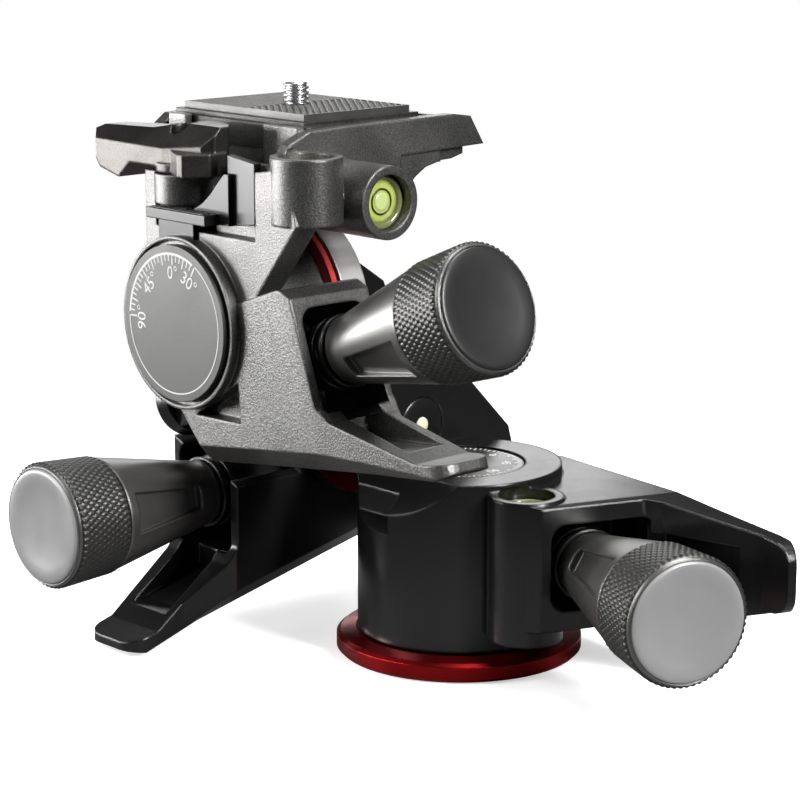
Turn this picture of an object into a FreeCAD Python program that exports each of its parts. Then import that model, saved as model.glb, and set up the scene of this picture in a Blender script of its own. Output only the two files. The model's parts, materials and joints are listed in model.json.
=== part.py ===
import FreeCAD, Part
import os
import re
import Sketcher

# Three-way geared tripod head, millimetres, +Z up.
# Origin: centre of the round base's bottom face, on the pan axis.  The user stands at -Y and the lens
# looks along +Y; +X is the user's right.
# The three movements share one layout, drawn in a local frame: u runs along the knob, v points from the
# worm to the wheel axis, w runs along the wheel axis.

SIZES = {
    # base
    "base_radius": 30, "base_height": 5, "base_seat": 21.5, "ring_chamfer": 0.8,
    "thread_radius": 4.8, "thread_depth": 11,
    "pan_spindle_radius": 9,
    # pan body
    "pan_radius": 24.8, "pan_floor": 5.7, "pan_top": 46.5, "pan_level": 28,
    "pan_knob_angle": 20.6, "scale_radius": 15.6, "scale_thick": 1.2, "scale_floor": 44.9,
    "boss_x": 29, "boss_y": -6.4, "boss_radius": 8.8, "boss_floor": 10, "boss_top": 44.6,
    "arm_left": -23, "arm_right": -17, "arm_radius": 18, "arm_nose": 4.5,
    # axes of the tilt and lateral movements
    "tilt_x": -54, "tilt_y": 3.5, "tilt_z": 52,
    "lateral_x": -48, "lateral_y": -32.5, "lateral_z": 80, "lateral_knob_angle": 19.5,
    # gearing shared by the three movements
    "worm_drop": 17, "wheel_teeth": 36, "wheel_width": 8,
    "wheel_tip": 13.6, "wheel_root": 12.3, "half_wheel": 4, "worm_tip": 4.5, "worm_root": 3.3,
    "worm_lead": 2.269, "worm_half": 5.4,
    "shaft_radius": 3, "axle_radius": 7, "run_gap": 0.05, "case_gap": 0.4,
    # casting of a movement
    "hub_radius": 21, "tilt_hub_radius": 20, "cavity_radius": 15.2, "cavity_half": 5,
    "case_wide": 13.5, "case_slim": 11, "hood_end": 40, "hood_back": 18,
    "tunnel_top": -5.5, "tunnel_floor": -32.5,
    "wing_half": 9, "wing_slim": 7, "wing_wall": 2.2, "wing_end": 73.5, "tilt_wing_end": 69.7,
    "tip_round": 5, "belly_bevel": 4.6, "mouth_round": 4,
    # cradle that carries the worm and tips to release it
    "cradle_half": 6.4, "pivot_u": -14, "pin_radius": 1.5, "pin_half": 9, "cap_radius": 8.8,
    "sleeve_start": 18.6, "sleeve_radius": 7.4,
    # knob
    "knob_start": 37, "knob_neck": 8.2, "cone_start": 38.5, "cone_end_radius": 14, "grip_start": 69,
    "grip_end": 82.5, "grip_core": 12.4, "grip_small": 14.4, "grip_large": 15.1, "rim_radius": 14.7,
    "knob_face": 85, "cap_disc_radius": 13.9, "cap_disc_thick": 1.6, "shaft_end": 44,
    "pocket_near": 44, "pocket_far": 66, "pocket_deep": 1.9, "collar_radius": 8.8, "collar_width": 2,
    # how much further out the knob of each movement sits
    "pan_reach": 0, "tilt_reach": 3.5, "lateral_reach": 4.8,
    # drum and rings
    "drum_radius": 24.5, "drum_front": -15.6, "drum_back": -8, "accent_thick": 1.6,
    "lateral_accent_radius": 24, "tilt_accent_radius": 20.5, "dial_radius": 19, "dial_face": -49.3,
    "dial_thick": 2, "dial_groove": 1.1, "collar_front": 15.8, "leg_back": -38, "leg_front": -45,
    # platform
    "plate_x": -48, "plate_y": -9.9, "plate_long": 51, "plate_wide": 39.4, "slab_floor": 121.4,
    "slab_top": 128.6, "slab_step": 1.1, "slab_inset": 1.3, "slab_round": 2.5,
    "pad_top": 130.2, "pad_long": 45, "pad_wide": 34, "screw_radius": 3.175, "screw_top": 135.4,
    "bed_floor": 110, "bed_rear": 116.4, "bed_back": 12, "panel_thick": 3.4, "seat_half": 25.8,
    "seat_front": -29.9, "seat_back": 10.1,
    "cup_x": -12.7, "cup_y": -37.3, "cup_radius": 8.5, "cup_floor": 107, "cup_top": 122.5,
    "barrel_y": -21.5, "barrel_z": 111.3, "barrel_radius": 8.7, "barrel_end": -1.5,
    "vial_radius": 6.6, "vial_drop": 2.4, "vial_thick": 5,
    # clamp lever and latch
    "lever_x": -53, "lever_y": -41, "lever_top": 127.3, "lever_front": -47.3, "stud_radius": 3.1,
    "boss_high": 115.4, "boss_low": 108.2, "boss_round": 7.4, "latch_floor": 105, "latch_thick": 2.5,
    "latch_travel": 2,
}

doc = FreeCAD.newDocument("geared_tripod_head")
sheet = doc.addObject("Spreadsheet::Sheet", "Sizes")
for line, (alias, number) in enumerate(SIZES.items(), start=1):
    sheet.set("A%d" % line, alias)
    sheet.set("B%d" % line, str(number))
    sheet.setAlias("B%d" % line, alias)
doc.recompute()

pieces = []


def bound(text):
    """Point every alias in an expression at its cell in the sheet."""
    return re.sub(r"[a-z]\w*_\w+", lambda word: "Sizes." + word.group(), str(text))


def val(text):
    return float(sheet.evalExpression(bound(text)))


def bind(thing, prop, text):
    thing.setExpression(prop, bound(text))


def frame(x, y, z, u_axis, v_axis):
    """Placement whose local X and Y axes run along the two given directions."""
    along_x = FreeCAD.Vector(*u_axis).normalize()
    along_y = FreeCAD.Vector(*v_axis).normalize()
    along_z = along_x.cross(along_y)
    turn = FreeCAD.Rotation(along_x, along_y, along_z, "ZXY")
    return FreeCAD.Placement(FreeCAD.Vector(val(x), val(y), val(z)), turn)


class Piece:
    """One PartDesign body, built up from sketches on its own origin planes."""

    normals = {"XY": 1, "XZ": -1, "YZ": 1}

    def __init__(self, name, place=None):
        self.body = doc.addObject("PartDesign::Body", name)
        self.body.Label = name
        if place is not None:
            self.body.Placement = place
        pieces.append(self.body)

    def sketch(self, plane, height, turn="0"):
        """Sketch on an origin plane, moved along its axis and turned about the body's Z axis."""
        sk = self.body.newObject("Sketcher::SketchObject", self.body.Name + "_sketch")
        origin = [f for f in self.body.Origin.OriginFeatures if f.Role == plane + "_Plane"][0]
        sk.AttachmentSupport = [(origin, "")]
        sk.MapMode = "FlatFace"
        lift = "(%s) * (%d)" % (height, self.normals[plane])
        if turn == "0" or plane == "XY":
            bind(sk, "AttachmentOffset.Base.z", lift)
        else:
            upright = FreeCAD.Rotation(FreeCAD.Vector(0, 1, 0), val(turn))
            sk.AttachmentOffset = FreeCAD.Placement(FreeCAD.Vector(), upright)
            bind(sk, "AttachmentOffset.Base.x", "%s * sin(%s)" % (lift, turn))
            bind(sk, "AttachmentOffset.Base.z", "%s * cos(%s)" % (lift, turn))
        if turn != "0":
            bind(sk, "AttachmentOffset.Rotation.Angle", turn)
        return sk

    def fill(self, sk, shape):
        """Draw a closed polygon [(x, y), ...] or a circle (x, y, radius) with bound dimensions."""
        if isinstance(shape, tuple):
            x, y, radius = shape
            centre = FreeCAD.Vector(val(x), val(y), 0)
            sk.addGeometry(Part.Circle(centre, FreeCAD.Vector(0, 0, 1), val(radius)), False)
            self.pin(sk, 0, 3, x, y)
            row = sk.addConstraint(Sketcher.Constraint("Radius", 0, val(radius)))
            bind(sk, "Constraints[%d]" % row, radius)
            return
        corners = [FreeCAD.Vector(val(x), val(y), 0) for x, y in shape]
        count = len(corners)
        for i in range(count):
            sk.addGeometry(Part.LineSegment(corners[i], corners[(i + 1) % count]), False)
        for i in range(count):
            sk.addConstraint(Sketcher.Constraint("Coincident", i, 2, (i + 1) % count, 1))
        for i, (x, y) in enumerate(shape):
            self.pin(sk, i, 1, x, y)

    def pin(self, sk, geometry, point, x, y):
        for kind, text in (("DistanceX", x), ("DistanceY", y)):
            row = sk.addConstraint(Sketcher.Constraint(kind, geometry, point, val(text)))
            if re.search("[a-z]", str(text)):
                bind(sk, "Constraints[%d]" % row, text)

    def pad(self, shape, low, high, plane="XY", turn="0"):
        start = low if self.normals[plane] > 0 else high
        sk = self.sketch(plane, start, turn)
        self.fill(sk, shape)
        pad = self.body.newObject("PartDesign::Pad", self.body.Name + "_pad")
        pad.Profile = (sk, [""])
        bind(pad, "Length", "(%s) - (%s)" % (high, low))
        doc.recompute()
        return sk

    def cut(self, shape, low, high, plane="XY", turn="0"):
        start = high if self.normals[plane] > 0 else low
        before = self.body.Shape.Volume
        sk = self.sketch(plane, start, turn)
        self.fill(sk, shape)
        pocket = self.body.newObject("PartDesign::Pocket", self.body.Name + "_pocket")
        pocket.Profile = (sk, [""])
        bind(pocket, "Length", "(%s) - (%s)" % (high, low))
        doc.recompute()
        if self.body.Shape.Volume >= before:
            raise RuntimeError("a pocket in %s cuts nothing" % self.body.Name)
        return sk

    def spin(self, shape, kind="Revolution"):
        """Turn a profile [(radius, height), ...] about the local Z axis."""
        sk = self.sketch("XZ", "0")
        self.fill(sk, shape)
        turned_part = self.body.newObject("PartDesign::" + kind, self.body.Name + "_turned")
        turned_part.Profile = (sk, [""])
        turned_part.ReferenceAxis = (sk, ["V_Axis"])
        turned_part.Angle = 360
        doc.recompute()

    def through(self, points, turn="0"):
        """Cut a polygon drawn in the local XZ plane, turned about local Z, through the whole body."""
        before = self.body.Shape.Volume
        sk = self.sketch("XZ", "0", turn)
        self.fill(sk, points)
        pocket = self.body.newObject("PartDesign::Pocket", self.body.Name + "_pocket")
        pocket.Profile = (sk, [""])
        pocket.Midplane = True
        pocket.Length = 260
        doc.recompute()
        if self.body.Shape.Volume >= before:
            raise RuntimeError("a cut through %s takes nothing away" % self.body.Name)

    def thread(self, profile, pitch, turns):
        """Add a right-handed thread round the local Z axis."""
        sk = self.sketch("XZ", "0")
        self.fill(sk, profile)
        helix = self.body.newObject("PartDesign::AdditiveHelix", self.body.Name + "_thread")
        helix.Profile = (sk, [""])
        helix.ReferenceAxis = (sk, ["V_Axis"])
        helix.Mode = "pitch-turns-angle"
        bind(helix, "Pitch", pitch)
        bind(helix, "Turns", turns)
        doc.recompute()

    def side_pocket(self, shape, deep):
        """Cut a flat-floored pocket into the knob's cone; shape's second numbers run along the axis."""
        before = self.body.Shape.Volume
        sk = self.sketch("XZ", "0")
        tipped = FreeCAD.Rotation(FreeCAD.Vector(1, 0, 0), 1)
        sk.AttachmentOffset = FreeCAD.Placement(FreeCAD.Vector(), tipped)
        slope = "(cone_end_radius - knob_neck) / (grip_start - 0.6 - cone_start)"
        bind(sk, "AttachmentOffset.Rotation.Angle", "atan(%s)" % slope)
        bind(sk, "AttachmentOffset.Base.y", "cone_start - knob_neck / (%s)" % slope)
        apex = "(cone_start - knob_neck / (%s))" % slope
        self.fill(sk, [(x, "(%s - %s) / cos(atan(%s))" % (z, apex, slope)) for x, z in shape])
        pocket = self.body.newObject("PartDesign::Pocket", self.body.Name + "_pocket")
        pocket.Profile = (sk, [""])
        bind(pocket, "Length", deep)
        doc.recompute()
        if self.body.Shape.Volume >= before:
            raise RuntimeError("a side pocket in %s cuts nothing" % self.body.Name)

    def repeat(self, count):
        """Repeat the last feature round the local Z axis."""
        tip = self.body.Tip
        ring = self.body.newObject("PartDesign::PolarPattern", self.body.Name + "_ring")
        ring.Originals = [tip]
        axis = [f for f in self.body.Origin.OriginFeatures if f.Role == "Z_Axis"][0]
        ring.Axis = (axis, [""])
        ring.Angle = 360
        bind(ring, "Occurrences", count)
        self.body.Tip = ring
        doc.recompute()

    def dress(self, kind, size, edges):
        names = []
        for i, edge in enumerate(self.body.Tip.Shape.Edges, start=1):
            if edges(edge):
                names.append("Edge%d" % i)
        if not names:
            raise RuntimeError("no edge to dress on " + self.body.Name)
        plain = self.body.Tip
        dressing = self.body.newObject("PartDesign::" + kind, self.body.Name + "_" + kind.lower())
        dressing.Base = (plain, names)
        bind(dressing, "Radius" if kind == "Fillet" else "Size", size)
        self.body.Tip = dressing
        doc.recompute()
        if "Invalid" in dressing.State:
            raise RuntimeError("%s %s of %s failed" % (self.body.Name, kind, names))

    def round_corners(self, size, sk, corners):
        """Fillet the edges that run along a sketch's normal through some of its corners."""
        normal = sk.Placement.Rotation.multVec(FreeCAD.Vector(0, 0, 1))
        spots = [sk.Placement.multVec(FreeCAD.Vector(val(x), val(y), 0)) for x, y in corners]

        def along(edge):
            first, last = edge.Vertexes[0].Point, edge.Vertexes[-1].Point
            if (last - first).Length < 1 or (last - first).cross(normal).Length > 1e-3:
                return False
            return any((first - spot).cross(normal).Length < 0.01 for spot in spots)

        self.dress("Fillet", size, along)

    def round_tunnel(self, size, sk, start, first, second):
        """Fillet the long corners of a square tunnel that starts at one x between two values of y."""
        to_sketch = sk.Placement.inverse()
        begin, sides = val(start), (val(first), val(second))

        def along(edge):
            a, b = [to_sketch.multVec(v.Point) for v in (edge.firstVertex(), edge.lastVertex())]
            level = abs(a.y - b.y) < 0.01 and abs(a.z - b.z) < 0.01 and abs(a.x - b.x) > 5
            return level and min(abs(min(a.x, b.x) - begin), 9) < 0.05 and any(
                abs(a.y - side) < 0.01 for side in sides)

        self.dress("Fillet", size, along)

    def bevel(self, size, sk, corners, level, kind="Chamfer"):
        """Bevel the rim that follows a chain of a sketch's corners, at one height of the body."""
        chain = [FreeCAD.Vector(val(x), val(y), 0) for x, y in corners]
        rails = [Part.LineSegment(a, b).toShape() for a, b in zip(chain, chain[1:])]
        to_sketch = sk.Placement.inverse()
        height = val(level)

        def on_rim(edge):
            spots = [edge.firstVertex().Point, edge.lastVertex().Point]
            if any(abs(spot.z - height) > 0.01 for spot in spots):
                return False
            flat = [to_sketch.multVec(spot) for spot in spots]
            marks = [Part.Vertex(spot.x, spot.y, 0) for spot in flat]
            return all(any(rail.distToShape(mark)[0] < 0.02 for rail in rails) for mark in marks)

        self.dress(kind, size, on_rim)


# ---------------------------------------------------------------- frames of the three movements

def pan_frame():
    c, s = val("cos(pan_knob_angle)"), val("sin(pan_knob_angle)")
    return frame("0", "0", "pan_level", (c, -s, 0), (-s, -c, 0))


def tilt_frame():
    return frame("tilt_x", "tilt_y", "tilt_z", (0, -1, 0), (0, 0, 1))


def lateral_frame():
    c, s = val("cos(lateral_knob_angle)"), val("sin(lateral_knob_angle)")
    return frame("lateral_x", "lateral_y", "lateral_z", (c, 0, s), (-s, 0, c))


def upright_frame():
    """Frame of the lateral casting: x to the right, y up, z towards the user."""
    return frame("lateral_x", "lateral_y", "lateral_z", (1, 0, 0), (0, 0, 1))


def knob_line(base):
    """Placement on the worm's axis with local Z along the knob."""
    turn = FreeCAD.Rotation(FreeCAD.Vector(0, 1, 0), 90)
    return base.multiply(FreeCAD.Placement(FreeCAD.Vector(0, -val("worm_drop"), 0), turn))


# ---------------------------------------------------------------- casting shared by the movements

def case_outline(side, end):
    """Hood and wing seen along the wheel axis; side -1 mirrors it for the pan body."""
    points = [("0", "0"), ("-20", "-6"), ("-8.2", "-33.7"), ("8.2", "-37.2"), ("49.4", "-46.3"),
              (end + " - 4.5", "-51.2"), (end, "-50.6"), (end, "-48.4"),
              (end + " - 8", "-46.5"), ("hood_end + 3", "-32.8"), ("hood_end", "-29"),
              ("hood_end", "-3"), ("hood_end - 3", "0"), ("20", "0")]
    return [(u, "(%s) * (%d)" % (v, side)) for u, v in points]


def scoop_outline(side, end):
    points = [("hood_end - 4", "-27"), ("hood_end - 4", "-37.5"), (end + " - 16.5", "-43"),
              (end + " - 10.5", "-43.8"), (end + " - 8", "-46"), (end + " - 8", "-27")]
    return [(u, "(%s) * (%d)" % (v, side)) for u, v in points]


def slim_wing(piece, turn, up, end, path, tip):
    """Cut the wing back to a path and to one height at its tip, whose corner is rounded."""
    corner = []
    for angle in range(0, 91, 15):
        corner.append(("%s - tip_round * (1 - sin(%d))" % (end, angle),
                       "%s - (%d) * tip_round * (1 - cos(%d))" % (tip, up, angle)))
    far = "%s + (%d) * 9" % (path[0][1], up)
    piece.through(path + corner + [(end + " + 2", corner[-1][1]), (end + " + 2", far), (path[0][0], far)],
                  turn)


def gear_case(piece, turn, side, end, levels, tips, taper, rims):
    """Pad the hood and wing between two levels, bevel the belly and slim the wing towards its tip."""
    outline = case_outline(side, end)
    low, high = levels
    sk = piece.pad(outline, low, high, turn=turn)
    piece.round_corners("5", sk, [outline[2]])
    piece.round_corners("2.5", sk, [outline[10], outline[12]])
    for rim in rims:
        piece.bevel("belly_bevel", sk, outline[2:6], rim)
    slim_wing(piece, turn, 1, end, [("hood_end - 2", high)], tips[1])
    slim_wing(piece, turn, -1, end, [("hood_end + 0.5", low)] + taper, tips[0])


def hollow_case(piece, turn, side, end, middle, tunnel_low, tunnel_high, scoop_low, scoop_high):
    """Wheel cavity, cradle space, hood opening and the scoop of the wing."""
    def box(u_low, u_high, v_low, v_high):
        low, high = "(%s) * (%d)" % (v_low, side), "(%s) * (%d)" % (v_high, side)
        return [(u_low, low), (u_high, low), (u_high, high), (u_low, high)]

    piece.cut(("0", "0", "cavity_radius"), middle + " - cavity_half", middle + " + cavity_half", turn=turn)
    half = "cradle_half + case_gap"
    piece.cut(box("-27", "hood_back + 1", "-28.4", "-7"), "%s - (%s)" % (middle, half),
              "%s + (%s)" % (middle, half), turn=turn)
    mouth = piece.cut(box("hood_back", "hood_end + 1", "tunnel_floor", "tunnel_top"), tunnel_low,
                      tunnel_high, turn=turn)
    piece.round_tunnel("mouth_round", mouth, "hood_back", "(%s) * (%d)" % ("tunnel_top", side),
                       "(%s) * (%d)" % ("tunnel_floor", side))
    piece.cut(("(0.6 - worm_drop) * (%d)" % side, middle, "cap_radius + 1.2"), "-27", "-19", plane="YZ",
              turn=turn)
    piece.cut(scoop_outline(side, end), scoop_low, scoop_high, turn=turn)
    piece.cut(("pivot_u", "-worm_drop * (%d)" % side, "pin_radius"), middle + " - pin_half",
              middle + " + pin_half", turn=turn)


# Turn of each knob about its axis, which sets where its side pockets face.
POCKET_TURN = {"pan": 150, "tilt": 100, "lateral": 60}


def gear_set(name, base):
    """Wheel, cradle, worm, knob, grip, cap, hinge pin and spring of one movement."""
    reach = name + "_reach"
    wheel = Piece(name + "_wheel", base)
    wheel.pad(("0", "0", "wheel_tip"), "-wheel_width / 2", "wheel_width / 2")
    wheel.cut([("-0.98", "-wheel_tip - 0.5"), ("0.98", "-wheel_tip - 0.5"), ("0.55", "-wheel_root"),
               ("-0.55", "-wheel_root")], "-wheel_width / 2 - 1", "wheel_width / 2 + 1")
    wheel.repeat("wheel_teeth")
    hole = "pan_spindle_radius" if name == "pan" else "axle_radius"
    wheel.cut(("0", "0", hole), "-wheel_width", "wheel_width")

    cradle = Piece(name + "_cradle", base)
    half = "cradle_half"
    cradle.pad([("-20.4", "-10.5"), ("-20.4", "-23.5"), ("sleeve_start", "-23.5"), ("sleeve_start", "-10.5")],
               "-" + half, half)
    cradle.pad(("-worm_drop", "0", "cap_radius"), "-24.8", "-20.4", plane="YZ")
    sleeve_end = "knob_start - 0.5 + " + reach
    cradle.pad(("-worm_drop", "0", "sleeve_radius"), "sleeve_start", sleeve_end, plane="YZ")
    for collar_end in (sleeve_end, sleeve_end + " - 1.5 * collar_width"):
        cradle.pad(("-worm_drop", "0", "collar_radius"), collar_end + " - collar_width", collar_end,
                   plane="YZ")
    cradle.cut(("0", "0", "wheel_tip + 0.9"), "-half_wheel - 0.6", "half_wheel + 0.6")
    cradle.cut(("-worm_drop", "0", "worm_tip + 0.7"), "-worm_half - 1", "worm_half + 1", plane="YZ")
    cradle.cut(("-worm_drop", "0", "shaft_radius + run_gap"), "-9", "knob_start + " + reach, plane="YZ")
    cradle.cut(("pivot_u", "-worm_drop", "pin_radius + run_gap"), "-10", "10")
    cradle.cut(("pivot_u", "-worm_drop", "3"), "-1.6", "1.6")

    line = knob_line(base)
    worm = Piece(name + "_worm", line)
    worm.spin([("0", "-8.7"), ("shaft_radius", "-8.7"), ("shaft_radius", "-worm_half - 0.6"),
               ("worm_root", "-worm_half - 0.6"), ("worm_root", "worm_half + 0.6"),
               ("shaft_radius", "worm_half + 0.6"), ("shaft_radius", "shaft_end + " + reach),
               ("0", "shaft_end + " + reach)])
    start = "-2.25 * worm_lead"
    worm.thread([("worm_root - 0.3", start + " - 0.52"), ("worm_tip", start + " - 0.24"),
                 ("worm_tip", start + " + 0.24"), ("worm_root - 0.3", start + " + 0.52")],
                "worm_lead", "4")

    line = line.multiply(FreeCAD.Placement(FreeCAD.Vector(0, 0, val(reach)), FreeCAD.Rotation()))
    spun = FreeCAD.Placement(FreeCAD.Vector(), FreeCAD.Rotation(FreeCAD.Vector(0, 0, 1), POCKET_TURN[name]))
    knob = Piece(name + "_knob", line.multiply(spun))
    knob.spin([("shaft_radius", "knob_start"), ("knob_neck - 0.4", "knob_start"),
               ("knob_neck", "knob_start + 0.6"), ("knob_neck", "cone_start"),
               ("cone_end_radius", "grip_start - 0.6"), ("cone_end_radius", "grip_start"),
               ("grip_core", "grip_start"), ("grip_core", "grip_end"), ("rim_radius", "grip_end"),
               ("rim_radius", "knob_face - 1.3"), ("cap_disc_radius + 0.3", "knob_face - 0.4"),
               ("cap_disc_radius", "knob_face - 0.4"), ("cap_disc_radius", "knob_face - cap_disc_thick"),
               ("0", "knob_face - cap_disc_thick"), ("0", "shaft_end"), ("shaft_radius", "shaft_end")])
    knob.side_pocket([("-2.6", "pocket_near"), ("2.6", "pocket_near"), ("4.9", "pocket_far"),
                      ("-4.9", "pocket_far")], "pocket_deep")
    knob.repeat("3")
    grip = Piece(name + "_grip", line)
    grip.spin([("grip_core", "grip_start"), ("grip_small - 0.4", "grip_start"),
               ("grip_small", "grip_start + 0.4"), ("grip_large", "grip_end - 0.5"),
               ("grip_large - 0.5", "grip_end"), ("grip_core", "grip_end")])
    cap = Piece(name + "_cap", line)
    cap.spin([("0", "knob_face - cap_disc_thick"), ("cap_disc_radius", "knob_face - cap_disc_thick"),
              ("cap_disc_radius", "knob_face - 0.4"), ("cap_disc_radius - 0.5", "knob_face"),
              ("cap_disc_radius - 3", "knob_face"), ("0", "knob_face - 0.9")])
    pin = Piece(name + "_pin", base)
    pin.pad(("pivot_u", "-worm_drop", "pin_radius"), "-pin_half", "pin_half")
    spring = Piece(name + "_spring", base.multiply(FreeCAD.Placement(
        FreeCAD.Vector(val("pivot_u"), -val("worm_drop"), 0), FreeCAD.Rotation())))
    spring.thread([("1.75", "-1.15"), ("2.45", "-1.15"), ("2.45", "-0.45"), ("1.75", "-0.45")], "0.8", "2")


# ---------------------------------------------------------------- base

def base_pieces():
    ring = Piece("base_ring")
    ring.spin([("base_seat", "0"), ("base_radius - ring_chamfer", "0"), ("base_radius", "ring_chamfer"),
               ("base_radius", "base_height - 1.2"), ("base_radius - 1", "base_height - 0.4"),
               ("pan_radius + 0.6", "base_height + 0.3"), ("pan_radius", "base_height"),
               ("base_seat", "base_height")])
    plate = Piece("base_plate")
    plate.pad(("0", "0", "base_seat"), "0", "base_height")
    plate.cut(("0", "0", "pan_spindle_radius"), "-1", "base_height + 1")
    for angle in ("30", "150", "270"):
        spot = ("15 * cos(%s)" % angle, "15 * sin(%s)" % angle)
        plate.cut(spot + ("1.5",), "-1", "base_height")
        plate.cut(spot + ("2.8",), "-1", "2")
    screws = []
    for angle in ("30", "150", "270"):
        rods = []
        for name, radius, length in (("shank", "1.5", "base_height - 0.4"), ("head", "2.8", "1.6")):
            rod = doc.addObject("Part::Cylinder", "base_screw_" + name)
            bind(rod, "Radius", radius)
            bind(rod, "Height", length)
            bind(rod, "Placement.Base.x", "15 * cos(%s)" % angle)
            bind(rod, "Placement.Base.y", "15 * sin(%s)" % angle)
            bind(rod, "Placement.Base.z", "0.4")
            rods.append(rod)
        screw = doc.addObject("Part::Fuse", "base_screw")
        screw.Base, screw.Tool = rods
        screws.append(screw)
    group = doc.addObject("Part::Compound", "base_screws")
    group.Links = screws
    pieces.append(group)
    spindle = Piece("pan_spindle")
    spindle.pad(("0", "0", "pan_spindle_radius"), "0", "scale_floor")
    spindle.cut(("0", "0", "thread_radius"), "-1", "thread_depth")
    scale = Piece("pan_scale")
    scale.pad(("0", "0", "scale_radius"), "scale_floor", "scale_floor + scale_thick")


# ---------------------------------------------------------------- pan body

def pan_body_pieces():
    turn = "-pan_knob_angle"
    case = Piece("pan_housing")
    gear_case(case, turn, -1, "wing_end", ("pan_level - 14", "pan_level + 16"),
              ("pan_level - 6", "pan_level + 11"), [("hood_end + 5", "pan_level - 14")], ["pan_level + 16"])
    case.pad(("0", "0", "pan_radius"), "pan_floor", "pan_top")
    case.pad(("boss_x", "boss_y", "boss_radius"), "boss_floor", "boss_top")
    # Rear arm up to the tilt axle, then the round nose that faces the tilt body.
    case.pad([("-8", "30"), ("tilt_y - arm_radius", "tilt_z"),
              ("tilt_y - arm_radius * 0.5", "tilt_z + arm_radius * 0.86"),
              ("tilt_y + 4", "tilt_z + arm_radius * 0.97"),
              ("tilt_y + arm_radius * 0.71", "tilt_z + arm_radius * 0.71"),
              ("34", "pan_top + 0.6"), ("36", "40"), ("30", "16"), ("-8", "16")],
             "arm_left", "arm_right", plane="YZ")
    case.pad(("tilt_y", "tilt_z", "arm_radius"), "arm_left - arm_nose", "arm_right", plane="YZ")
    case.pad(("tilt_y", "tilt_z", "12.3"), "tilt_x + 17.9", "arm_left - 1", plane="YZ")
    # Clearance for the lateral body when it tilts back, and for its belly as it turns.
    case.cut([("-27", "37.5"), ("-25", "37.5"), ("-17.2", "pan_top"), ("-17.2", "pan_top + 1"),
              ("-27", "pan_top + 1")],
             "-26", "18", plane="YZ")
    relief = [("-27", "32.2"), ("-25.3", "32.2"), ("-20.9", "35.8"), ("-20.9", "pan_top"),
              ("-27", "pan_top")]
    case.cut(relief, "-17", "1", plane="YZ")
    hollow_case(case, turn, -1, "wing_end", "pan_level", "pan_level - 9.2", "pan_level + 11.5",
                "pan_level - 12 + wing_wall", "pan_level + 10 - wing_wall")
    case.cut(("0", "0", "pan_spindle_radius + run_gap"), "pan_floor - 1", "pan_top")
    case.cut(("0", "0", "scale_radius + case_gap"), "scale_floor - case_gap", "pan_top + 1")
    case.cut(("boss_x", "boss_y", "vial_radius"), "boss_top - vial_drop - vial_thick", "boss_top + 1")
    case.cut(("tilt_y", "tilt_z", "axle_radius"), "tilt_x", "arm_right + 1", plane="YZ")
    vial = Piece("pan_level")
    vial.pad(("boss_x", "boss_y", "vial_radius"), "boss_top - vial_drop - vial_thick", "boss_top - vial_drop")
    axle = Piece("tilt_spindle")
    axle.pad(("tilt_y", "tilt_z", "axle_radius"), "tilt_x - 13", "arm_right - 1.5", plane="YZ")
    button = Piece("tilt_axle_cap")
    button.pad(("tilt_y", "tilt_z", "axle_radius"), "arm_right - 1.5", "arm_right", plane="YZ")
    button.pad(("tilt_y", "tilt_z", "2.8"), "arm_right - 1", "arm_right + 0.7", plane="YZ")


# ---------------------------------------------------------------- tilt body

def tilt_body_pieces():
    case = Piece("tilt_housing", tilt_frame())
    gear_case(case, "0", 1, "tilt_wing_end", ("-case_wide", "case_slim"), ("-wing_half", "wing_half + 0.4"),
              [("hood_end + 14", "-wing_half")], ["-case_wide", "case_slim"])
    case.pad(("0", "0", "tilt_hub_radius"), "-16", "case_wide")
    web = [("tilt_y - drum_back", "5"), ("tilt_y - drum_back", "44.8"), ("2.5", "38.8"), ("-6.5", "32.8"),
           ("-19.5", "4"), ("0", "-5")]
    case.pad(web, "-16", "12")
    # The hood's top stays clear of the lateral body as that one swings over it.
    path = [("-13.7", "-14.5"), ("-10.6", "-7.4"), ("-8.6", "-2"), ("-7.6", "2"), ("-6.4", "6"),
            ("-4", "11.5"), ("1", "11.5"), ("1", "-14.5")]
    case.cut(path, "hood_back + 1.5", "hood_end + 4", plane="YZ")
    hollow_case(case, "0", 1, "tilt_wing_end", "0", "-11", "9.2", "-wing_half + wing_wall",
                "wing_half - wing_wall")
    case.cut(("0", "0", "axle_radius + run_gap"), "-17", "case_wide + 1")
    accent = Piece("tilt_ring", tilt_frame())
    accent.pad(("0", "0", "tilt_accent_radius"), "-16 - accent_thick", "-16")
    accent.cut(("0", "0", "axle_radius + run_gap"), "-19", "-15")
    cover = Piece("tilt_cover", tilt_frame())
    cover.pad(("0", "0", "15"), "case_wide", "case_wide + 1.4")

    drum_place = frame("lateral_x", "0", "lateral_z", (1, 0, 0), (0, 0, 1))
    drum = Piece("lateral_drum", drum_place)
    drum.pad(("0", "0", "drum_radius"), "-drum_back", "-drum_front")
    drum.cut(("tilt_z - lateral_z", "-tilt_y", "tilt_accent_radius + case_gap"), "-drum_radius - 1",
             "drum_radius + 1", plane="YZ")
    axle = Piece("lateral_spindle", drum_place)
    axle.pad(("0", "0", "axle_radius"), "-drum_front", "-dial_face - dial_thick")
    dial = Piece("lateral_dial", drum_place)
    dial.pad(("0", "0", "dial_radius"), "-dial_face - dial_thick", "-dial_face")


# ---------------------------------------------------------------- lateral body and platform

def shifted(points, across, along):
    """Move world points (a, b) into the frame of the lateral casting."""
    return [(across % a, along % b) for a, b in points]


def front_view(points):
    return shifted(points, "(%s) - lateral_x", "(%s) - lateral_z")


def side_view(points):
    return [("(%s) - lateral_z" % z, "lateral_y - (%s)" % y) for y, z in points]


def depth(y):
    return "lateral_y - (%s)" % y


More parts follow.
